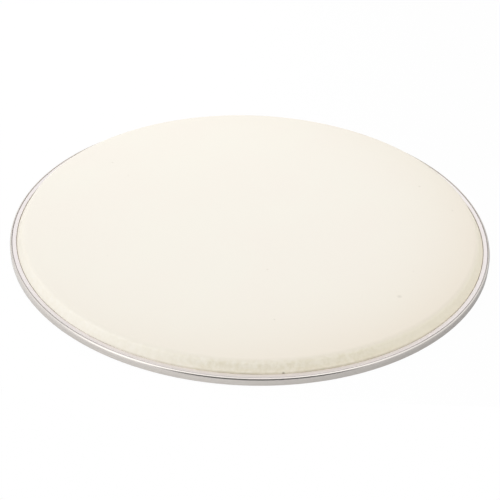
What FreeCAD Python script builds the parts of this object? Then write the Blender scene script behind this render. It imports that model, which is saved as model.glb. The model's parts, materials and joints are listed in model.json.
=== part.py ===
"""Coated drum head of the 18-inch size: a formed film held in a crimped aluminium hoop.

Millimetres, +Z up. The origin is on the hoop's axis, in the plane that the hoop's foot rests on.
Every piece is a ring or a disc: a section drawn in the XZ plane and turned about the axis.
"""
import FreeCAD
import Part

import math
import os

# Drum shell that the head goes over
shell_diameter = 457.2
shell_clearance = 0.6

# Hoop channel: a U with a tall outer wall, whose top is crimped inwards over the locking ring
hoop_width = 7.8
outer_wall = 1.0
inner_wall = 0.8
floor_thickness = 1.0
inner_wall_height = 7.2
outer_foot_radius = 1.0
inner_foot_radius = 0.6
lip_inner_radius = 1.5
lip_edge_radius = 0.25
lip_degrees = 70.0
channel_seam_gap = 0.3
channel_seam_degrees = 90.0

# Locking ring: a closed bar on the film's hem, with a ledge along its outside that the lip is crimped onto
ring_height = 6.0
ledge_drop = 0.4
ring_edge_radius = 0.2

# Film: flat playing surface, crown, collar, neck over the inner wall's tip, and hem under the ring
film_thickness = 0.3
film_height = 17.5
crown_radius = 5.0
collar_degrees = 62.0
hem_end_gap = 0.5

# Adhesive: a bed under the hem, and a bead between the neck and the ring, which sets the hem's fold
bed_thickness = 0.3
ring_bead_thickness = 0.4

# How far the cut at the channel's seam runs past the metal
overrun = 2.0

# Radii that the pieces share, from the axis outwards
hoop_inner_radius = shell_diameter / 2 + shell_clearance
hoop_outer_radius = hoop_inner_radius + hoop_width
wall_face_radius = hoop_inner_radius + inner_wall
neck_face_radius = wall_face_radius + film_thickness
ring_inner_radius = neck_face_radius + ring_bead_thickness
ring_outer_radius = hoop_outer_radius - outer_wall
hem_end_radius = ring_outer_radius - hem_end_gap

# Heights that the pieces share, from the foot upwards
hem_bottom = floor_thickness + bed_thickness
hem_top = hem_bottom + film_thickness
ring_top = hem_top + ring_height

# The direction square to the collar, in degrees above the outward direction
collar_face_degrees = 90 - collar_degrees

origin = FreeCAD.Vector(0, 0, 0)
axis = FreeCAD.Vector(0, 0, 1)


def point(radius, height):
    """Point of a section, at a distance from the axis and a height."""
    return FreeCAD.Vector(radius, 0, height)


def on_circle(centre, radius, degrees):
    """Point of a section on a circle, at an angle above the outward direction."""
    turn = math.radians(degrees)
    return centre + point(radius * math.cos(turn), radius * math.sin(turn))


def arc(centre, radius, start_degrees, end_degrees):
    """Arc of a section from one angle to another."""
    middle_degrees = (start_degrees + end_degrees) / 2
    stops = (start_degrees, middle_degrees, end_degrees)
    return Part.Arc(*[on_circle(centre, radius, degrees) for degrees in stops]).toShape()


def ends(stretch):
    """First and last point of a stretch of an outline, which is a point or an arc."""
    if isinstance(stretch, FreeCAD.Vector):
        return stretch, stretch
    return stretch.valueAt(stretch.FirstParameter), stretch.valueAt(stretch.LastParameter)


def turned(*stretches):
    """Solid turned from a closed outline of points and arcs, joined in order by straight lines."""
    edges = []
    for stretch, following in zip(stretches, stretches[1:] + stretches[:1]):
        if not isinstance(stretch, FreeCAD.Vector):
            edges.append(stretch)
        start = ends(stretch)[1]
        end = ends(following)[0]
        if start.distanceToPoint(end) > FreeCAD.Base.Precision.confusion():
            edges.append(Part.LineSegment(start, end).toShape())
    return Part.Face(Part.Wire(edges)).revolve(origin, axis, 360)


# Centres of the bends, each shared by the pieces that lie against each other there
lip_centre = point(ring_outer_radius - lip_inner_radius, ring_top - ledge_drop - lip_inner_radius)
tip_radius = inner_wall / 2
tip_centre = point(hoop_inner_radius + tip_radius, inner_wall_height - tip_radius)
neck_outer_radius = tip_radius + film_thickness
fold_centre = point(ring_inner_radius, hem_top + ring_bead_thickness)
fold_outer_radius = ring_bead_thickness + film_thickness


def hoop_channel():
    """Channel strip bent to a ring, with a rounded foot, a rounded inner tip and a crimped lip.

    A narrow slot through the ring is the seam where the strip's two ends meet.
    """
    lip_outer_radius = lip_inner_radius + outer_wall
    edge_distance = lip_outer_radius - lip_edge_radius
    edge_degrees = lip_degrees - math.degrees(math.asin(lip_edge_radius / edge_distance))
    edge_centre = on_circle(lip_centre, edge_distance, edge_degrees)
    inner_foot_centre = point(hoop_inner_radius + inner_foot_radius, inner_foot_radius)
    outer_foot_centre = point(hoop_outer_radius - outer_foot_radius, outer_foot_radius)
    closed_ring = turned(
        arc(inner_foot_centre, inner_foot_radius, 180, 270),
        arc(outer_foot_centre, outer_foot_radius, -90, 0),
        arc(lip_centre, lip_outer_radius, 0, edge_degrees),
        arc(edge_centre, lip_edge_radius, edge_degrees, lip_degrees + 90),
        arc(lip_centre, lip_inner_radius, lip_degrees, 0),
        point(ring_outer_radius, floor_thickness),
        point(wall_face_radius, floor_thickness),
        arc(tip_centre, tip_radius, 0, 180),
    )
    slot_corner = FreeCAD.Vector(hoop_inner_radius - overrun, -channel_seam_gap / 2, -overrun)
    slot_height = lip_centre.z + lip_outer_radius + 2 * overrun
    slot = Part.makeBox(hoop_width + 2 * overrun, channel_seam_gap, slot_height, slot_corner)
    slot.rotate(origin, axis, channel_seam_degrees)
    return closed_ring.cut(slot)


def locking_ring():
    """Bar bent and welded to a ring: a flat strip on top, and a rounded ledge below it on the outside."""
    edge_height = ring_top - ring_edge_radius
    outer_edge_centre = point(lip_centre.x - ring_edge_radius, edge_height)
    inner_edge_centre = point(ring_inner_radius + ring_edge_radius, edge_height)
    return turned(
        point(ring_inner_radius, hem_top),
        point(ring_outer_radius, hem_top),
        arc(lip_centre, lip_inner_radius, 0, 90),
        arc(outer_edge_centre, ring_edge_radius, 0, 90),
        arc(inner_edge_centre, ring_edge_radius, 90, 180),
    )


def drum_film():
    """Film of one thickness, from the axis over the crown and the inner wall's tip to the hem's end."""
    crown_height = film_height - crown_radius
    face_turn = math.radians(collar_face_degrees)
    climb = (crown_height - tip_centre.z) * math.sin(face_turn)
    crown_inset = (crown_radius - neck_outer_radius + climb) / math.cos(face_turn)
    crown_centre = point(tip_centre.x - crown_inset, crown_height)
    return turned(
        point(0, film_height),
        arc(crown_centre, crown_radius, 90, collar_face_degrees),
        arc(tip_centre, neck_outer_radius, collar_face_degrees, 0),
        arc(fold_centre, ring_bead_thickness, 180, 270),
        point(hem_end_radius, hem_top),
        point(hem_end_radius, hem_bottom),
        arc(fold_centre, fold_outer_radius, 270, 180),
        arc(tip_centre, tip_radius, 0, collar_face_degrees),
        arc(crown_centre, crown_radius - film_thickness, collar_face_degrees, 90),
        point(0, film_height - film_thickness),
    )


def bedding_adhesive():
    """Bed between the channel's floor and the hem, which fills the corners at the fold and the hem's end."""
    return turned(
        point(wall_face_radius, floor_thickness),
        point(ring_outer_radius, floor_thickness),
        point(ring_outer_radius, hem_top),
        point(hem_end_radius, hem_top),
        point(hem_end_radius, hem_bottom),
        arc(fold_centre, fold_outer_radius, 270, 180),
    )


def ring_adhesive():
    """Bead between the film's neck and the locking ring, filled up to the start of the collar."""
    bead_top = on_circle(tip_centre, neck_outer_radius, collar_face_degrees).z
    return turned(
        arc(fold_centre, ring_bead_thickness, 270, 180),
        arc(tip_centre, neck_outer_radius, 0, collar_face_degrees),
        point(ring_inner_radius, bead_top),
    )


pieces = {
    "hoop_channel": hoop_channel(),
    "locking_ring": locking_ring(),
    "drum_film": drum_film(),
    "bedding_adhesive": bedding_adhesive(),
    "ring_adhesive": ring_adhesive(),
}
os.makedirs("parts", exist_ok=True)
for name, shape in pieces.items():
    shape.exportStep(f"parts/{name}.step")
    box = shape.optimalBoundingBox()
    print(name, "solids", len(shape.Solids), "valid", shape.isValid(), "volume", round(shape.Volume, 1))
    print("  from", round(box.ZMin, 3), "to", round(box.ZMax, 3), "high and", round(box.XLength, 3), "across")
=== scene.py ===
# %% [markdown]
# # A coated drum head, turned from sections
#
# A drum head is a polyester film that is heat-formed to a shallow dish and held at its edge in a metal hoop.
# Every piece of it is round about one axis, so every piece can be drawn as a section and carried round that
# axis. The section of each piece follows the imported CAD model, which is loaded first and never moved.

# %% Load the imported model
import json

import bpy
import numpy as np
from mathutils import Matrix, Vector


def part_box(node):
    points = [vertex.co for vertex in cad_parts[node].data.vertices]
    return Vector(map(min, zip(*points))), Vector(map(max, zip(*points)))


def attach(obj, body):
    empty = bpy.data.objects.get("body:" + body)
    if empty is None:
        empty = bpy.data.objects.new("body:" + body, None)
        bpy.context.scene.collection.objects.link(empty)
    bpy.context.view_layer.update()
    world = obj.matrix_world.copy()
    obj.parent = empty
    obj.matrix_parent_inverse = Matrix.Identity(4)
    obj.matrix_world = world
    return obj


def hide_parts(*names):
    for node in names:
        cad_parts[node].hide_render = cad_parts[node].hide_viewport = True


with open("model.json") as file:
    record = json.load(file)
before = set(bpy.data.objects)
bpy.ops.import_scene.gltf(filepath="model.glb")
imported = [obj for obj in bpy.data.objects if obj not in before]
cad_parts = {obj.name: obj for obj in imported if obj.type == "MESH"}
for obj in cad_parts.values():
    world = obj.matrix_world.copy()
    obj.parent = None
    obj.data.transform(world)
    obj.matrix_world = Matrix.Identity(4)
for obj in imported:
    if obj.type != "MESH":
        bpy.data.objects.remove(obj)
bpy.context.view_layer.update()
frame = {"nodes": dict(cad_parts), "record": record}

MM = 0.001
print("CAD nodes:", ", ".join(sorted(frame["nodes"])))

# %% [markdown]
# ## Sizes
#
# The big sizes come from the frame: the record's mounts give the hoop's two wall radii, and the nodes' boxes
# give the heights and the film's thickness. The small ones, such as the walls and bends of the metal, are
# written in millimetres where they are first used, because a box can't give them.

# %% Sizes that the pieces share
mounts = {mount["name"]: mount["dims"] for mount in frame["record"]["mounts"]}
hoop_inner = mounts["shell_bore"]["r_mm"] * MM
hoop_outer = mounts["counterhoop_seat"]["r_mm"] * MM
film_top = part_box("drum_film")[1].z
hem_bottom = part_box("drum_film")[0].z
ring_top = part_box("locking_ring")[1].z
ring_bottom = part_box("locking_ring")[0].z
floor_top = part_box("bedding_adhesive")[0].z
film_thickness = ring_bottom - hem_bottom

outer_wall = 1.0 * MM
inner_wall = 0.8 * MM
bead_width = 0.4 * MM

wall_face = hoop_inner + inner_wall
neck_face = wall_face + film_thickness
ring_inner = neck_face + bead_width
ring_outer = hoop_outer - outer_wall
print("hoop wall radii in mm:", round(hoop_inner / MM, 2), round(hoop_outer / MM, 2))
print("film thickness in mm:", round(film_thickness / MM, 3), "film top:", round(film_top / MM, 2))

# %% [markdown]
# ## Camera
#
# The head is seen from in front and above, through a long lens, with the picture turned by two degrees. A
# camera is placed by three directions: right, up and back. Writing them out keeps the turn of the picture
# apart from the height of the view, which an aimed camera with three Euler angles would mix.

# %% Camera
view_degrees = 23.0
camera_height_degrees = 33.68
camera_turn_degrees = 2.04
camera_distance = 5.093 * hoop_outer
camera_aim = Vector((0.0009, -0.128, 0.0)) * hoop_outer

height_turn = np.radians(camera_height_degrees)
picture_turn = np.radians(camera_turn_degrees)
level_right = Vector((1.0, 0.0, 0.0))
level_up = Vector((0.0, np.sin(height_turn), np.cos(height_turn)))
camera_back = Vector((0.0, -np.cos(height_turn), np.sin(height_turn)))
camera_right = level_right * np.cos(picture_turn) + level_up * np.sin(picture_turn)
camera_up = level_up * np.cos(picture_turn) - level_right * np.sin(picture_turn)

camera = bpy.data.objects.new("camera", bpy.data.cameras.new("camera"))
bpy.context.collection.objects.link(camera)
camera_axes = Matrix((camera_right, camera_up, camera_back)).transposed().to_4x4()
camera.matrix_world = Matrix.Translation(camera_aim + camera_back * camera_distance) @ camera_axes
camera.data.sensor_fit = "HORIZONTAL"
camera.data.angle = np.radians(view_degrees)
bpy.context.scene.camera = camera
print("camera at", [round(v, 3) for v in camera.matrix_world.translation], "lens", round(camera.data.lens, 1))

# %% [markdown]
# ## Turning a section
#
# A lathe can be had from the Screw or Spin tools, but then the mesh has no map that says how far round and
# how far across the metal a point is, and brushing needs both. So the surface is worked out as whole arrays:
# a grid of section points by azimuths, with the two lengths kept as a UV map in metres. A row of points on
# the axis becomes one pole. A section that doesn't go all the way round gets a cap at each end.


# %% Arcs, and the same section all round
def arc(centre, radius, start_degrees, end_degrees, steps):
    """Section points centre + radius (cos t, sin t), with t from start to end."""
    t = np.radians(np.linspace(start_degrees, end_degrees, steps))
    return np.column_stack([centre[0] + radius * np.cos(t), centre[1] + radius * np.sin(t)])


def all_round(section, columns):
    """The same section at every azimuth: R and Z as arrays with one column for each azimuth."""
    return np.repeat(section[:, :1], columns, axis=1), np.repeat(section[:, 1:], columns, axis=1)


round_steps = 640
whole_round = np.arange(round_steps) * 2 * np.pi / round_steps
print("one step round the hoop in mm:", round(whole_round[1] * hoop_outer / MM, 2))

# %% Turned surfaces
axis_reach = 1e-9
sharp_degrees = 35.0


def new_piece(name, points, corners, sides, corner_uv):
    """A mesh on the root body: each face takes the next corners of the row, as many as it has sides."""
    used, corners = np.unique(corners, return_inverse=True)
    mesh = bpy.data.meshes.new(name)
    mesh.vertices.add(len(used))
    mesh.vertices.foreach_set("co", points[used].ravel())
    mesh.loops.add(len(corners))
    mesh.loops.foreach_set("vertex_index", corners.ravel())
    mesh.polygons.add(len(sides))
    mesh.polygons.foreach_set("loop_start", np.cumsum(sides) - sides)
    mesh.uv_layers.new(name="lengths").data.foreach_set("uv", corner_uv.ravel())
    mesh.update(calc_edges=True)
    mesh.validate()
    mesh.shade_smooth()
    mesh.set_sharp_from_angle(angle=np.radians(sharp_degrees))
    piece = bpy.data.objects.new(name, mesh)
    bpy.context.collection.objects.link(piece)
    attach(piece, "root")
    print(name, "has", len(used), "points and", len(sides), "faces")
    return piece


def turned_surface(name, radius, height, azimuth, whole_turn=True):
    """Closed surface P(s, a) = (R(s, a) cos a, R(s, a) sin a, Z(s, a)).

    R and Z hold one row for each section point and one column for each azimuth. The section runs
    anticlockwise, so that a face whose sides go round first and along the section next points outwards.
    """
    rows, columns = radius.shape
    points = np.stack([radius * np.cos(azimuth), radius * np.sin(azimuth), height], axis=-1)
    poles = radius[:, 0] < axis_reach
    index = np.arange(rows * columns).reshape(rows, columns)
    index[poles] = index[poles, :1]

    steps = np.hypot(np.diff(radius, axis=0), np.diff(height, axis=0))[:, 0]
    across = np.concatenate([[0.0], np.cumsum(steps)])
    around = (azimuth - azimuth[0]) * radius.max()
    turns = columns if whole_turn else columns - 1
    next_column = (np.arange(turns) + 1) % columns
    next_around = around[:turns] + np.diff(around).mean()
    spans = rows - 1 if poles.any() else rows
    next_row = (np.arange(spans) + 1) % rows
    next_across = np.where(next_row > 0, across[next_row], across[-1] + steps.mean())

    low, high = index[:spans], index[next_row]
    quads = np.stack([low[:, :turns], low[:, next_column], high[:, next_column], high[:, :turns]], axis=-1)
    u = np.stack([around[:turns], next_around, next_around, around[:turns]], axis=-1)
    v = np.stack([across[:spans], across[:spans], next_across, next_across], axis=-1)
    uv = np.stack(np.broadcast_arrays(u[None], v[:, None]), axis=-1)

    keep = np.ones((spans, 4), bool)
    keep[poles[:spans], 1] = False
    keep[poles[next_row], 2] = False
    keep = np.broadcast_to(keep[:, None], quads.shape).reshape(-1, 4)
    corners = quads.reshape(-1, 4)[keep]
    corner_uv = uv.reshape(-1, 4, 2)[keep]
    sides = keep.sum(axis=1)
    if not whole_turn:
        corners = np.concatenate([corners, index[::-1, 0], index[:, -1]])
        corner_uv = np.concatenate([corner_uv, np.zeros((2 * rows, 2))])
        sides = np.concatenate([sides, [rows, rows]])
    return new_piece(name, points.reshape(-1, 3), corners, sides, corner_uv)


print("edges sharper than", sharp_degrees, "degrees stay sharp")

# %% [markdown]
# ## Hoop channel
#
# The hoop's outside is a strip of aluminium, rolled to a U and bent to a ring. Its outer wall is taller than
# its inner one, and its top is crimped inwards. The strip's two ends meet at a narrow seam at the back. A
# bevelled tube would do for the wall, but not for the lip and the seam, so this piece is turned from one side
# of the seam to the other and capped there.

# %% Hoop channel
inner_wall_height = 7.2 * MM
outer_foot_bend = 1.0 * MM
inner_foot_bend = 0.6 * MM
lip_inner_bend = 1.5 * MM
lip_edge_bend = 0.25 * MM
lip_degrees = 70.0
ledge_drop = 0.4 * MM
seam_gap = 0.3 * MM
seam_degrees = 90.0

lip_centre = (ring_outer - lip_inner_bend, ring_top - ledge_drop - lip_inner_bend)
lip_outer_bend = lip_inner_bend + outer_wall
edge_distance = lip_outer_bend - lip_edge_bend
edge_degrees = lip_degrees - np.degrees(np.arcsin(lip_edge_bend / edge_distance))
edge_centre = arc(lip_centre, edge_distance, edge_degrees, edge_degrees, steps=1)[0]
tip_bend = inner_wall / 2
tip_centre = (hoop_inner + tip_bend, inner_wall_height - tip_bend)

channel_section = np.concatenate([
    arc((hoop_inner + inner_foot_bend, inner_foot_bend), inner_foot_bend, 180, 270, steps=7),
    arc((hoop_outer - outer_foot_bend, outer_foot_bend), outer_foot_bend, -90, 0, steps=9),
    arc(lip_centre, lip_outer_bend, 0, edge_degrees, steps=22),
    arc(edge_centre, lip_edge_bend, edge_degrees, lip_degrees + 90, steps=7)[1:],
    arc(lip_centre, lip_inner_bend, lip_degrees, 0, steps=9),
    [(ring_outer, floor_top), (wall_face, floor_top)],
    arc(tip_centre, tip_bend, 0, 180, steps=11),
])
seam_turn = np.radians(seam_degrees)
half_gap_turn = seam_gap / 2 / hoop_outer
seam_to_seam = np.linspace(seam_turn + half_gap_turn, seam_turn + 2 * np.pi - half_gap_turn, round_steps)
hoop = turned_surface("hoop_strip", *all_round(channel_section, round_steps), seam_to_seam, whole_turn=False)
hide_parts("hoop_channel")

# %% [markdown]
# ## Locking ring
#
# A closed aluminium bar lies in the channel on top of the film's hem, and the lip is crimped onto its
# shoulder. Only its flat top shows, as a light strip between the rim and the film. It is turned too, because
# its shoulder has to follow the inside of the lip.

# %% Locking ring
ring_edge_bend = 0.2 * MM

edge_height = ring_top - ring_edge_bend
strip_outer = lip_centre[0]
ring_section = np.concatenate([
    [(ring_inner, ring_bottom), (ring_outer, ring_bottom)],
    arc(lip_centre, lip_inner_bend, 0, 90, steps=15),
    arc((strip_outer - ring_edge_bend, edge_height), ring_edge_bend, 0, 90, steps=6),
    arc((ring_inner + ring_edge_bend, edge_height), ring_edge_bend, 90, 180, steps=6),
])
ring = turned_surface("flat_locking_ring", *all_round(ring_section, round_steps), whole_round)
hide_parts("locking_ring")

# %% [markdown]
# ## Film
#
# The film is one sheet of even thickness. Its middle line runs from the axis over the crown, down the collar,
# round the tip of the channel's inner wall and under the locking ring. A Solidify modifier could thicken a
# single face, but the film has to fill its gap in the hoop exactly, so the two faces are that line moved by
# half the thickness each way, and each stretch gives its points together with the direction that the playing
# side faces. The solid has the head as it lies on a drum. A loose one is slack: its last few centimetres fall
# off a little, its crown is rounder and its collar flatter, which is what shades its edge. Forming leaves
# faint puckers in the collar: ripples along the face's direction that fade out at the crown and the neck.

# %% Stretches of film
half_film = film_thickness / 2


def film_arc(centre, radius, start_degrees, end_degrees, steps, outside=1.0):
    """Rows (r, z, nr, nz) on a bend: the points of an arc, facing away from its centre, or to it for -1."""
    line = arc(centre, radius, start_degrees, end_degrees, steps)
    return np.column_stack([line, (line - centre) / radius * outside])


def film_straight(start, end, steps):
    """Rows (r, z, nr, nz) on a line: start + (end - start) s, with s from 0 to 1 and both ends left out."""
    share = np.linspace(0.0, 1.0, steps + 2)[1:-1, None]
    return start + (end - start) * share


def film_shoulder(start, width, drop, steps):
    """Rows (r, z, nr, nz) half a film under the curve (start + width s, top - drop s s), s from 0 to 1."""
    s = np.arange(steps) / steps
    turn = np.arctan(2 * drop / width * s)
    facing = np.column_stack([np.sin(turn), np.cos(turn)])
    playing_side = np.column_stack([start + width * s, film_top - drop * s ** 2])
    return np.column_stack([playing_side - half_film * facing, facing])


print("half the film's thickness in mm:", round(half_film / MM, 3))

# %% Middle line of the film
crown_bend = 6.2 * MM
collar_degrees = 58.0
shoulder_width = 25 * MM
shoulder_drop = 0.4 * MM
hem_end_gap = 0.5 * MM
flat_steps = 18
flat_crowding = 1.8

face_degrees = 90 - collar_degrees
face_turn = np.radians(face_degrees)
crown_height = film_top - crown_bend
neck_bend = tip_bend + film_thickness
climb = (crown_height - tip_centre[1]) * np.sin(face_turn)
crown_inset = (crown_bend - neck_bend + climb) / np.cos(face_turn)
shoulder_turn = np.arctan(2 * shoulder_drop / shoulder_width)
crown_drop = shoulder_drop - crown_bend * (1 - np.cos(shoulder_turn))
crown_shift = crown_drop * np.tan(face_turn)
crown_centre = (tip_centre[0] - crown_inset + crown_shift, crown_height - crown_drop)
shoulder_start = crown_centre[0] + crown_bend * np.sin(shoulder_turn) - shoulder_width
fold_centre = (ring_inner, ring_bottom + bead_width)
hem_end = ring_outer - hem_end_gap

flat_radii = shoulder_start * (1 - (1 - np.arange(flat_steps) / flat_steps) ** flat_crowding)
flat = flat_radii[:, None] * (1, 0, 0, 0) + (0, film_top - half_film, 0, 1)
shoulder = film_shoulder(shoulder_start, shoulder_width, shoulder_drop, steps=10)
crown_start = 90 - np.degrees(shoulder_turn)
crown = film_arc(crown_centre, crown_bend - half_film, crown_start, face_degrees, steps=18)
neck = film_arc(tip_centre, tip_bend + half_film, face_degrees, 0, steps=6)
fold = film_arc(fold_centre, bead_width + half_film, 180, 270, steps=6, outside=-1.0)
collar = film_straight(crown[-1], neck[0], steps=10)
drop = film_straight(neck[-1], fold[0], steps=2)
hem = np.array([[hem_end, ring_bottom - half_film, 0.0, 1.0]])
film_line = np.concatenate([flat, shoulder, crown, collar, neck, drop, fold, hem])
print("middle line has", len(film_line), "points, and the crown starts at", round(crown_start, 1), "degrees")

# %% Puckers and the film's two faces
pucker_depth = 0.05 * MM
pucker_waves = np.array([31, 47, 58, 73, 89])
weakest_share = 0.4
pucker_start = 1 * MM

draws = np.random.default_rng(18)
pucker_phases = draws.uniform(0, 2 * np.pi, len(pucker_waves))
pucker_shares = draws.uniform(weakest_share, 1.0, len(pucker_waves))
waves = pucker_shares[:, None] * np.cos(pucker_waves[:, None] * whole_round + pucker_phases[:, None])
puckers = pucker_depth * waves.sum(axis=0) / pucker_shares.sum()
collar_top, collar_foot = film_top - pucker_start, ring_top
collar_share = np.clip((film_line[:, 1] - collar_foot) / (collar_top - collar_foot), 0.0, 1.0)
collar_fade = np.sin(np.pi * collar_share) ** 2


def film_face(side):
    """R and Z of one face: the middle line plus its direction times half the thickness and the puckers."""
    lift = side * half_film + collar_fade[:, None] * puckers
    return film_line[:, :1] + film_line[:, 2:3] * lift, film_line[:, 1:2] + film_line[:, 3:] * lift


under, playing = film_face(-1.0), film_face(1.0)
film_radius = np.concatenate([under[0], playing[0][::-1]])
film_height = np.concatenate([under[1], playing[1][::-1]])
film = turned_surface("coated_playing_film", film_radius, film_height, whole_round)
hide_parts("drum_film")

# %% [markdown]
# ## Bead of adhesive
#
# A bead of adhesive fills the gap between the film's neck and the locking ring, and shows as a thin brownish
# line. A swept curve would give an even cord. A bead laid by hand isn't level, so its top rises and falls a
# little round the hoop, and it is hollow across, because a liquid climbs both walls of a narrow gap.

# %% Bead of adhesive
bead_hollow = 0.12 * MM
bead_unevenness = 0.12 * MM
bead_waves = np.array([3, 7, 12, 23, 41])
bead_steps = 7

bead_level = tip_centre[1] + neck_bend * np.sin(face_turn)
bead_side = arc(fold_centre, bead_width, 270, 180, steps=6)
bead_neck = arc(tip_centre, neck_bend, 0, face_degrees, steps=4)
bead_across = np.linspace(bead_neck[-1, 0], ring_inner, bead_steps)[1:]
bead_share = np.linspace(-1.0, 1.0, bead_steps)[1:]
bead_top = np.column_stack([bead_across, bead_level - bead_hollow * (1 - bead_share ** 2)])
bead_section = np.concatenate([bead_side, bead_neck, bead_top])[::-1]
bead_radius, bead_height = all_round(bead_section, round_steps)
bead_phases = draws.uniform(0, 2 * np.pi, len(bead_waves))
bead_rise = np.cos(bead_waves[:, None] * whole_round + bead_phases[:, None]).mean(axis=0)
bead_rows = bead_height > bead_level - 2 * bead_hollow
bead_height = bead_height + np.where(bead_rows, bead_unevenness * bead_rise, 0.0)
bead = turned_surface("adhesive_bead", bead_radius, bead_height, whole_round)
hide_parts("ring_adhesive")

# %% [markdown]
# ## Colours and nodes
#
# Colours are picked as sRGB hex values, as a screen shows them, and a shader works with light, so one
# function turns them to linear values. One more adds a node: its properties are set, and each input is either
# linked or given a value.


# %% Colours and nodes
def linear(hex_colour):
    """Linear RGBA of an sRGB hex colour: ((c + 0.055) / 1.055) ** 2.4, or c / 12.92 where c is dark."""
    shown = np.array([int(hex_colour[i:i + 2], 16) for i in (1, 3, 5)]) / 255
    light = np.where(shown > 0.04045, ((shown + 0.055) / 1.055) ** 2.4, shown / 12.92)
    return (*light.tolist(), 1.0)


def add(tree, kind, inputs=None, **settings):
    """Adds a node of a kind, sets its properties, and links or sets its inputs."""
    node = tree.nodes.new(kind)
    for name, value in settings.items():
        setattr(node, name, value)
    for name, value in (inputs or {}).items():
        if isinstance(value, bpy.types.NodeSocket):
            tree.links.new(value, node.inputs[name])
        else:
            node.inputs[name].default_value = value
    return node


def new_material(name):
    """A new material with its node tree and its shader."""
    material = bpy.data.materials.new(name)
    material.use_nodes = True
    return material, material.node_tree, material.node_tree.nodes["Principled BSDF"]


print("a screen's middle grey reflects", round(linear("#808080")[0], 3), "of the light")

# %% [markdown]
# ## Sprayed coating on polyester film
#
# The film's playing side is sprayed with a matt cream coating. It scatters light almost evenly, with a weak
# sheen at low angles and a fine grain. The spray lies in slow clouds. Painted shade makes the tone darker and
# warmer far from a spot at the back left, growing with a high power of the distance. On the steep collar,
# painted light makes the tone paler away from that spot, and the collar is mottled. Adhesive has stained the
# collar in front, and painted shade darkens its foot there, where the film meets the ring. An image texture
# could hold all this, but only as sharply as its pixels, so the nodes measure distances and heights on the
# film instead. Flecks that are caught in the coating were found as pixels of the picture: each lies where the
# line of sight through its pixel meets the film.

# %% Places behind a pixel
picture_size = 500
fleck_sizes = {
    (399, 296): 3.0 * MM, (274, 319): 1.2 * MM, (419, 186): 1.6 * MM, (452, 210): 1.3 * MM,
    (112, 162): 1.3 * MM, (128, 175): 0.8 * MM, (73, 228): 0.7 * MM, (107, 255): 0.8 * MM,
    (267, 269): 1.2 * MM, (413, 271): 0.8 * MM, (211, 198): 0.7 * MM,
}
stain_and_shade_pixel = (290, 372)
speck_pixel = (283, 373)


def behind_pixel(pixel, level):
    """Camera's place plus t times the line of sight through a pixel, with t that ends at a level."""
    across, down = (2 * (np.array(pixel) + 0.5) / picture_size - 1) * np.tan(np.radians(view_degrees) / 2)
    eye = camera.matrix_world.translation
    sight = camera_right * across - camera_up * down - camera_back
    return eye + sight * ((level - eye.z) / sight.z)


print("first fleck in mm:", [round(v / MM, 1) for v in behind_pixel(next(iter(fleck_sizes)), film_top)])

# %% Tones of the coating
# The darker, warmer tones are painted shade, growing far from a spot at the back left; the paler collar tone
# is painted light.
coating_cream = "#E5E2D8"
coating_cloud = "#E5DFD6"
shaded_cream = "#DAD0C0"
lit_collar_cream = "#F5F2EB"
shaded_collar_cream = "#ECE3CB"
cloud_size = 70 * MM
painted_tone_centre = (-46 * MM, 32 * MM, film_top)
collar_light_start, collar_light_end = 190 * MM, 230 * MM
shade_reach = 300 * MM
shade_power = 5.2

coating, tree, shader = new_material("sprayed_coating_on_polyester")
place = add(tree, "ShaderNodeTexCoord").outputs["Object"]
clouds = add(tree, "ShaderNodeTexNoise", {"Vector": place, "Scale": 1 / cloud_size, "Detail": 2.0})
from_painted_tone_centre = add(tree, "ShaderNodeVectorMath", {0: place, 1: painted_tone_centre}, operation="DISTANCE")
shade_distance_share = add(tree, "ShaderNodeMapRange", {"Value": from_painted_tone_centre.outputs["Value"], "From Max": shade_reach})
painted_shade_part = add(tree, "ShaderNodeMath", {0: shade_distance_share.outputs["Result"], 1: shade_power}, operation="POWER")
cream = add(tree, "ShaderNodeMix", {"Factor": clouds.outputs["Fac"], "A": linear(coating_cream),
                                    "B": linear(coating_cloud)}, data_type="RGBA")
flat_tone = add(tree, "ShaderNodeMix", {"Factor": painted_shade_part.outputs["Value"], "A": cream.outputs["Result"],
                                        "B": linear(shaded_cream)}, data_type="RGBA")
# Painted light: the collar's tone turns paler away from the spot at the back left.
painted_light_part = add(tree, "ShaderNodeMapRange", {"Value": from_painted_tone_centre.outputs["Value"], "From Min": collar_light_start,
                                             "From Max": collar_light_end})
lit_collar = add(tree, "ShaderNodeMix", {"Factor": painted_light_part.outputs["Result"], "A": cream.outputs["Result"],
                                          "B": linear(lit_collar_cream)}, data_type="RGBA")
collar_light_and_shade = add(tree, "ShaderNodeMix", {"Factor": painted_shade_part.outputs["Value"],
                                          "A": lit_collar.outputs["Result"],
                                          "B": linear(shaded_collar_cream)}, data_type="RGBA")
print("coating", coating_cream, "to", shaded_cream, "and on the collar", lit_collar_cream, "to", shaded_collar_cream)

# %% Stains on the collar
collar_stain = "#DDD4BA"
stain_size = 4 * MM
stain_levels = (0.35, 0.75)
stain_shares = (0.2, 0.7)
stain_and_shade_full, stain_end = 60 * MM, 105 * MM
collar_start, collar_full = film_top - 0.4 * MM, film_top - 2.5 * MM

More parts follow.
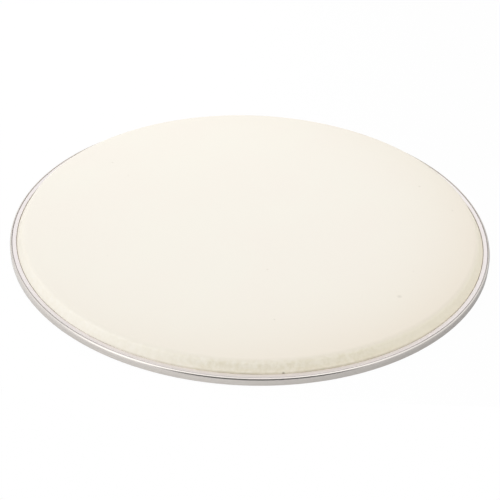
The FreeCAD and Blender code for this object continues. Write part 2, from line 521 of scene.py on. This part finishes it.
height = add(tree, "ShaderNodeSeparateXYZ", {"Vector": place}).outputs["Z"]
stains = add(tree, "ShaderNodeTexNoise", {"Vector": place, "Scale": 1 / stain_size, "Detail": 4.0})
from_stain_and_shade = add(tree, "ShaderNodeVectorMath", {0: place, 1: behind_pixel(stain_and_shade_pixel, ring_top)},
                 operation="DISTANCE")
stain_share = add(tree, "ShaderNodeMapRange", {"Value": from_stain_and_shade.outputs["Value"], "From Min": stain_end,
                                               "From Max": stain_and_shade_full, "To Min": stain_shares[0],
                                               "To Max": stain_shares[1]})
stained = add(tree, "ShaderNodeMapRange", {"Value": stains.outputs["Fac"], "From Min": stain_levels[0],
                                           "From Max": stain_levels[1],
                                           "To Max": stain_share.outputs["Result"]})
collar_tone = add(tree, "ShaderNodeMix", {"Factor": stained.outputs["Result"],
                                          "A": collar_light_and_shade.outputs["Result"],
                                          "B": linear(collar_stain)}, data_type="RGBA")
collar_part = add(tree, "ShaderNodeMapRange", {"Value": height, "From Min": collar_start,
                                               "From Max": collar_full})
toned = add(tree, "ShaderNodeMix", {"Factor": collar_part.outputs["Result"], "A": flat_tone.outputs["Result"],
                                    "B": collar_tone.outputs["Result"]}, data_type="RGBA")
print("strong stains of", collar_stain, "end", round(stain_end / MM), "mm from the smear's middle")

# %% Painted shade and speck at the collar's foot
# Painted shade: a patchy darker brown band at the collar's foot, strongest in front, where the film meets the
# ring. The speck is a small dark mark.
foot_shade_tone = "#B8AD98"
foot_speck = "#6F6555"
foot_shade_size = 12 * MM
foot_shade_height = 1.3 * MM
foot_shade_end = 190 * MM
speck_size = 1.7 * MM

foot_shade_noise = add(tree, "ShaderNodeTexNoise", {"Vector": place, "Scale": 1 / foot_shade_size, "Detail": 4.0})
foot_shade_level = add(tree, "ShaderNodeMapRange", {"Value": from_stain_and_shade.outputs["Value"], "From Min": foot_shade_end,
                                               "From Max": stain_and_shade_full})
patchy = add(tree, "ShaderNodeMath", {0: foot_shade_noise.outputs["Fac"], 1: foot_shade_level.outputs["Result"]},
             operation="MULTIPLY")
foot_shade_fade = add(tree, "ShaderNodeMapRange", {"Value": height, "From Min": ring_top + foot_shade_height,
                                              "From Max": ring_top, "To Max": patchy.outputs["Value"]})
foot_shaded = add(tree, "ShaderNodeMix", {"Factor": foot_shade_fade.outputs["Result"], "A": toned.outputs["Result"],
                                      "B": linear(foot_shade_tone)}, data_type="RGBA")
from_speck = add(tree, "ShaderNodeVectorMath", {0: place, 1: behind_pixel(speck_pixel, ring_top)},
                 operation="DISTANCE")
speck = add(tree, "ShaderNodeMapRange", {"Value": from_speck.outputs["Value"], "From Min": speck_size,
                                         "From Max": 0.0})
specked = add(tree, "ShaderNodeMix", {"Factor": speck.outputs["Result"], "A": foot_shaded.outputs["Result"],
                                      "B": linear(foot_speck)}, data_type="RGBA")
# The middle of the stains and of the painted shade at the collar's foot.
print("smear's middle in mm:", [round(v / MM, 1) for v in behind_pixel(stain_and_shade_pixel, ring_top)])

# %% Flecks, gloss and grain
# A sprayed grain is finer than half a millimetre, so it is drawn coarser here to show at all.
fleck_brown = "#CFC9BD"
mottle_size = 4 * MM
grain_size = 0.9 * MM
grain_depth = 0.05 * MM
grain_strength = 0.25
coating_gloss = (0.46, 0.58)
coating_ior = 1.5
matt_sheen = 0.2

flecks = 0.0
for pixel, size in fleck_sizes.items():
    middle = behind_pixel(pixel, film_top)
    away = add(tree, "ShaderNodeVectorMath", {0: place, 1: middle}, operation="DISTANCE")
    fleck = add(tree, "ShaderNodeMapRange", {"Value": away.outputs["Value"], "From Min": size,
                                             "From Max": 0.0})
    either = {0: flecks, 1: fleck.outputs["Result"]}
    flecks = add(tree, "ShaderNodeMath", either, operation="MAXIMUM").outputs["Value"]
flecked = add(tree, "ShaderNodeMix", {"Factor": flecks, "A": specked.outputs["Result"],
                                      "B": linear(fleck_brown)}, data_type="RGBA")
mottle = add(tree, "ShaderNodeTexNoise", {"Vector": place, "Scale": 1 / mottle_size, "Detail": 3.0})
gloss = add(tree, "ShaderNodeMapRange", {"Value": mottle.outputs["Fac"], "To Min": coating_gloss[0],
                                         "To Max": coating_gloss[1]})
grain = add(tree, "ShaderNodeTexNoise", {"Vector": place, "Scale": 1 / grain_size, "Detail": 2.0})
bumps = add(tree, "ShaderNodeBump", {"Height": grain.outputs["Fac"], "Strength": grain_strength,
                                     "Distance": grain_depth})
tree.links.new(flecked.outputs["Result"], shader.inputs["Base Color"])
tree.links.new(gloss.outputs["Result"], shader.inputs["Roughness"])
tree.links.new(bumps.outputs["Normal"], shader.inputs["Normal"])
shader.inputs["IOR"].default_value = coating_ior
shader.inputs["Specular IOR Level"].default_value = matt_sheen
film.data.materials.append(coating)
print("coating on", film.name, "with", len(fleck_sizes), "flecks and", len(tree.nodes), "nodes")

# %% [markdown]
# ## Brushed and drawn aluminium
#
# The strip was brushed along its length before it was bent, so fine scratches run round the hoop and give the
# eye a satin sheen with streaks. Noise on Object coordinates would run straight through the ring, so it is
# read from the UV lengths, squeezed across and stretched along. Real scratches are about a tenth of a
# millimetre wide, which the picture can't show, so they are drawn wider. The locking ring is drawn bar, which
# is paler and duller, with faint die lines. A dark line of painted shade lies in the groove beside the lip,
# on the ring's shoulder, next to the step up to its flat top.

# %% Brushed and drawn aluminium
# The darkest tone is painted shade: a dark line in the groove beside the lip.
groove_shade_tone = "#2E2A27"
groove_shade_width = 0.3 * MM
groove_shade_offset = 0.22 * MM
scratch_depth = 0.02 * MM
scratch_strength = 0.3


def lined_metal(name, dark_hex, light_hex, line_width, line_length, smoothest, roughest, groove_shade_line=None):
    """Aluminium with lines along the UV map's first direction, which change its tone, gloss and level.

    Painted shade of the groove lies along a line, given by its place in the UV map's second direction.
    """
    material, tree, shader = new_material(name)
    lengths = add(tree, "ShaderNodeUVMap", uv_map="lengths").outputs["UV"]
    line_scale = (1 / line_length, 1 / line_width, 1.0)
    squeeze = add(tree, "ShaderNodeMapping", {"Vector": lengths, "Scale": line_scale})
    lines = add(tree, "ShaderNodeTexNoise", {"Vector": squeeze.outputs["Vector"], "Scale": 1.0,
                                             "Detail": 3.0}, noise_dimensions="2D")
    tone = add(tree, "ShaderNodeMix", {"Factor": lines.outputs["Fac"], "A": linear(dark_hex),
                                       "B": linear(light_hex)}, data_type="RGBA")
    gloss = add(tree, "ShaderNodeMapRange", {"Value": lines.outputs["Fac"], "To Min": smoothest,
                                             "To Max": roughest})
    bumps = add(tree, "ShaderNodeBump", {"Height": lines.outputs["Fac"], "Strength": scratch_strength,
                                         "Distance": scratch_depth})
    if groove_shade_line is not None:
        across = add(tree, "ShaderNodeSeparateXYZ", {"Vector": lengths}).outputs["Y"]
        offset = add(tree, "ShaderNodeMath", {0: across, 1: groove_shade_line}, operation="SUBTRACT")
        away = add(tree, "ShaderNodeMath", {0: offset.outputs["Value"]}, operation="ABSOLUTE")
        groove_shade = add(tree, "ShaderNodeMapRange", {"Value": away.outputs["Value"], "From Min": groove_shade_width,
                                                "From Max": 0.0})
        tone = add(tree, "ShaderNodeMix", {"Factor": groove_shade.outputs["Result"], "A": tone.outputs["Result"],
                                           "B": linear(groove_shade_tone)}, data_type="RGBA")
    tree.links.new(tone.outputs["Result"], shader.inputs["Base Color"])
    tree.links.new(gloss.outputs["Result"], shader.inputs["Roughness"])
    tree.links.new(bumps.outputs["Normal"], shader.inputs["Normal"])
    shader.inputs["Metallic"].default_value = 1.0
    return material


step_line = (ring_outer - ring_inner) + (lip_centre[1] - ring_bottom) + lip_inner_bend * np.pi / 2
groove_shade_place = step_line - groove_shade_offset
brushed = lined_metal("brushed_aluminium", dark_hex="#C7C2BD", light_hex="#DBD6D1", line_width=0.5 * MM,
                      line_length=60 * MM, smoothest=0.14, roughest=0.28)
drawn = lined_metal("drawn_aluminium", dark_hex="#F6F0EF", light_hex="#FCF6F5", line_width=0.4 * MM,
                    line_length=120 * MM, smoothest=0.42, roughest=0.55, groove_shade_line=groove_shade_place)
hoop.data.materials.append(brushed)
ring.data.materials.append(drawn)
print("metals:", brushed.name, "and", drawn.name, "with dirt", round(groove_shade_place / MM, 2), "mm along")

# %% [markdown]
# ## Cured adhesive
#
# Cured resin is amber, a little cloudy and glossy, with grey dust on it. Clear resin would need a glass
# shader, but in so thin a line only its tone shows, so it is an opaque plastic with two tones. The bed of
# adhesive is hidden in the hoop, and keeps its CAD mesh.

# %% Cured adhesive
resin_amber = "#5E4F38"
resin_dust = "#82735A"
dust_size = 3 * MM
resin_gloss = (0.25, 0.5)

resin, tree, shader = new_material("cured_resin")
place = add(tree, "ShaderNodeTexCoord").outputs["Object"]
dust = add(tree, "ShaderNodeTexNoise", {"Vector": place, "Scale": 1 / dust_size, "Detail": 3.0})
amber = add(tree, "ShaderNodeMix", {"Factor": dust.outputs["Fac"], "A": linear(resin_amber),
                                    "B": linear(resin_dust)}, data_type="RGBA")
gloss = add(tree, "ShaderNodeMapRange", {"Value": dust.outputs["Fac"], "To Min": resin_gloss[0],
                                         "To Max": resin_gloss[1]})
tree.links.new(amber.outputs["Result"], shader.inputs["Base Color"])
tree.links.new(gloss.outputs["Result"], shader.inputs["Roughness"])
bed = frame["nodes"]["bedding_adhesive"]
bead.data.materials.append(resin)
bed.data.materials.clear()
bed.data.materials.append(resin)
print("resin on", bead.name, "and", bed.name)

# %% [markdown]
# ## Table top
#
# The head lies near the front edge of a white table. A lit white plane alone would come out grey in places,
# so its material asks which kind of ray looks at it. To the camera it is nearly all white glow, and the small
# share of lit paper that is left keeps the head's shadow. The paper's colour is painted darker towards the
# right, as painted shade. Mirror and glass rays get a smaller share of the white, so the hoop's wall shows
# that painted shade on the paper.

# %% Table top
table_reach = 15.0
table_front = hoop_outer + 16 * MM

table_mesh = bpy.data.meshes.new("white_table")
table_corners = [(-table_reach, -table_front, 0.0), (table_reach, -table_front, 0.0),
                 (table_reach, table_reach, 0.0), (-table_reach, table_reach, 0.0)]
table_mesh.from_pydata(table_corners, [], [(0, 1, 2, 3)])
table = bpy.data.objects.new("white_table", table_mesh)
bpy.context.collection.objects.link(table)
print("table front edge at y", round(-table_front / MM), "mm")

# %% White paper
camera_white = 0.98
mirror_white = 0.1
# The paper's colour is painted darker towards the right, as painted shade.
paper_left = "#F4F4F4"
shaded_paper_right = "#BABABA"
paper_shade_start, paper_shade_end = -0.2 * hoop_outer, hoop_outer
paper_roughness = 0.9
plain_white = linear("#FFFFFF")


def white_share(tree, camera_share):
    """Share of plain white: camera_share for a camera ray, mirror_white for a mirror or glass ray."""
    rays = add(tree, "ShaderNodeLightPath").outputs
    mirror = add(tree, "ShaderNodeMath", {0: rays["Is Glossy Ray"], 1: rays["Is Transmission Ray"]},
                 operation="MAXIMUM")
    mirror_part = add(tree, "ShaderNodeMath", {0: mirror.outputs["Value"], 1: mirror_white},
                      operation="MULTIPLY")
    share = add(tree, "ShaderNodeMath", {0: rays["Is Camera Ray"], 1: camera_share,
                                         2: mirror_part.outputs["Value"]}, operation="MULTIPLY_ADD")
    return share.outputs["Value"]


paper, tree, shader = new_material("white_paper")
place = add(tree, "ShaderNodeTexCoord").outputs["Object"]
sideways = add(tree, "ShaderNodeSeparateXYZ", {"Vector": place}).outputs["X"]
paper_shade = add(tree, "ShaderNodeMapRange", {"Value": sideways, "From Min": paper_shade_start, "From Max": paper_shade_end})
tone = add(tree, "ShaderNodeMix", {"Factor": paper_shade.outputs["Result"], "A": linear(paper_left),
                                   "B": linear(shaded_paper_right)}, data_type="RGBA")
tree.links.new(tone.outputs["Result"], shader.inputs["Base Color"])
shader.inputs["Roughness"].default_value = paper_roughness
glow = add(tree, "ShaderNodeEmission", {"Color": plain_white, "Strength": 1.0})
mixed = add(tree, "ShaderNodeMixShader", {0: white_share(tree, camera_white), 1: shader.outputs["BSDF"],
                                          2: glow.outputs["Emission"]})
tree.links.new(mixed.outputs["Shader"], tree.nodes["Material Output"].inputs["Surface"])
table_mesh.materials.append(paper)
print("paper from", paper_left, "on the left to", shaded_paper_right, "on the right")

# %% [markdown]
# ## Light tent, reflector and softbox
#
# The light is a white tent. Area lamps all round could make it, but the rim would mirror their square edges,
# so it is drawn as the world's background, by the direction that a ray goes in. Its cloth is dim close to the
# table, most of all on the right, and the camera looks in through an opening at the front, a little to the
# right. That dark opening is what draws the dark line along the near rim. The roof is brightest over the
# camera, falls off to the back and gains a little to both sides. A round reflector at the front left lifts
# the near left collar. Light from so far away falls evenly on the whole film, so one lamp close by, at the
# back, makes the film's slow fall of brightness towards the near edge. To the camera, the tent is white.

# %% Cloth and opening of the light tent
cloth_level = 1.36
low_levels = (1.05, 0.85)
low_edges = np.sin(np.radians((12.0, 28.0)))
opening_level = 0.06
opening_bearing = np.radians(-83.0)
opening_edges = np.cos(np.radians((52.0, 23.0)))

world = bpy.data.worlds.new("light_tent")
world.use_nodes = True
bpy.context.scene.world = world
tree = world.node_tree
direction = add(tree, "ShaderNodeTexCoord").outputs["Generated"]
aim = add(tree, "ShaderNodeSeparateXYZ", {"Vector": direction}).outputs
level_part = add(tree, "ShaderNodeVectorMath", {0: direction, 1: (1.0, 1.0, 0.0)}, operation="MULTIPLY")
level_aim = level_part.outputs["Vector"]
bearing = add(tree, "ShaderNodeVectorMath", {0: level_aim}, operation="NORMALIZE").outputs["Vector"]
to_right = add(tree, "ShaderNodeSeparateXYZ", {"Vector": bearing}).outputs["X"]
low_cloth = add(tree, "ShaderNodeMapRange", {"Value": to_right, "From Min": -1.0, "From Max": 1.0,
                                             "To Min": low_levels[0], "To Max": low_levels[1]})
cloth = add(tree, "ShaderNodeMapRange", {"Value": aim["Z"], "From Min": low_edges[0],
                                         "From Max": low_edges[1], "To Min": low_cloth.outputs["Result"],
                                         "To Max": cloth_level}, interpolation_type="SMOOTHSTEP")
opening_aim = (np.cos(opening_bearing), np.sin(opening_bearing), 0.0)
near_opening = add(tree, "ShaderNodeVectorMath", {0: bearing, 1: opening_aim}, operation="DOT_PRODUCT")
opening = add(tree, "ShaderNodeMapRange", {"Value": near_opening.outputs["Value"],
                                           "From Min": opening_edges[0], "From Max": opening_edges[1],
                                           "To Min": cloth.outputs["Result"], "To Max": opening_level},
              interpolation_type="SMOOTHSTEP")
print("tent's cloth at", cloth_level, "and its opening at", opening_level)

# %% Roof of the light tent
roof_levels = (1.76, 0.5)
roof_reach = 0.7
side_edges = (0.1, 0.5)
side_gains = (0.9, 1.13)
roof_edges = np.sin(np.radians((30.0, 44.0)))

roof = add(tree, "ShaderNodeMapRange", {"Value": aim["Y"], "From Min": -roof_reach, "From Max": roof_reach,
                                        "To Min": roof_levels[0], "To Max": roof_levels[1]},
           interpolation_type="SMOOTHSTEP")
sideways = add(tree, "ShaderNodeMath", {0: aim["X"]}, operation="ABSOLUTE")
side_gain = add(tree, "ShaderNodeMapRange", {"Value": sideways.outputs["Value"], "From Min": side_edges[0],
                                             "From Max": side_edges[1], "To Min": side_gains[0],
                                             "To Max": side_gains[1]}, interpolation_type="SMOOTHSTEP")
wide_roof = add(tree, "ShaderNodeMath", {0: roof.outputs["Result"], 1: side_gain.outputs["Result"]},
                operation="MULTIPLY")
tent = add(tree, "ShaderNodeMapRange", {"Value": aim["Z"], "From Min": roof_edges[0],
                                        "From Max": roof_edges[1], "To Min": opening.outputs["Result"],
                                        "To Max": wide_roof.outputs["Value"]},
           interpolation_type="SMOOTHSTEP")
print("tent's roof from", roof_levels[0], "over the camera to", roof_levels[1], "at the back")

# %% Reflector and plain white background
reflector_bearing = np.radians(-150.0)
reflector_height = np.radians(24.0)
reflector_level = 1.9
reflector_edges = np.cos(np.radians((28.0, 10.0)))

reflector_aim = (np.cos(reflector_bearing) * np.cos(reflector_height),
                 np.sin(reflector_bearing) * np.cos(reflector_height), np.sin(reflector_height))
near_reflector = add(tree, "ShaderNodeVectorMath", {0: direction, 1: reflector_aim}, operation="DOT_PRODUCT")
lit = add(tree, "ShaderNodeMapRange", {"Value": near_reflector.outputs["Value"],
                                       "From Min": reflector_edges[0], "From Max": reflector_edges[1],
                                       "To Min": tent.outputs["Result"], "To Max": reflector_level},
          interpolation_type="SMOOTHSTEP")
shown = add(tree, "ShaderNodeMix", {"Factor": white_share(tree, 1.0), "A": lit.outputs["Result"], "B": 1.0})
tree.nodes["Background"].inputs["Color"].default_value = plain_white
tree.links.new(shown.outputs["Result"], tree.nodes["Background"].inputs["Strength"])
print("reflector towards", [round(v, 2) for v in reflector_aim], "at", reflector_level)

# %% Softbox and view transform
softbox_size = 0.4
softbox_watts = 0.95
softbox_place = Vector((-0.3, 0.6, 0.55))

softbox = bpy.data.objects.new("softbox", bpy.data.lights.new("softbox", "AREA"))
softbox.data.size = softbox_size
softbox.data.energy = softbox_watts
softbox.location = softbox_place
softbox.rotation_mode = "QUATERNION"
softbox.rotation_quaternion = softbox_place.to_track_quat("Z", "Y")
softbox.visible_camera = False
softbox.visible_glossy = False
bpy.context.collection.objects.link(softbox)

bpy.context.scene.view_settings.view_transform = "Standard"
print("softbox at", [round(v, 2) for v in softbox_place], "m with", softbox_watts, "W")
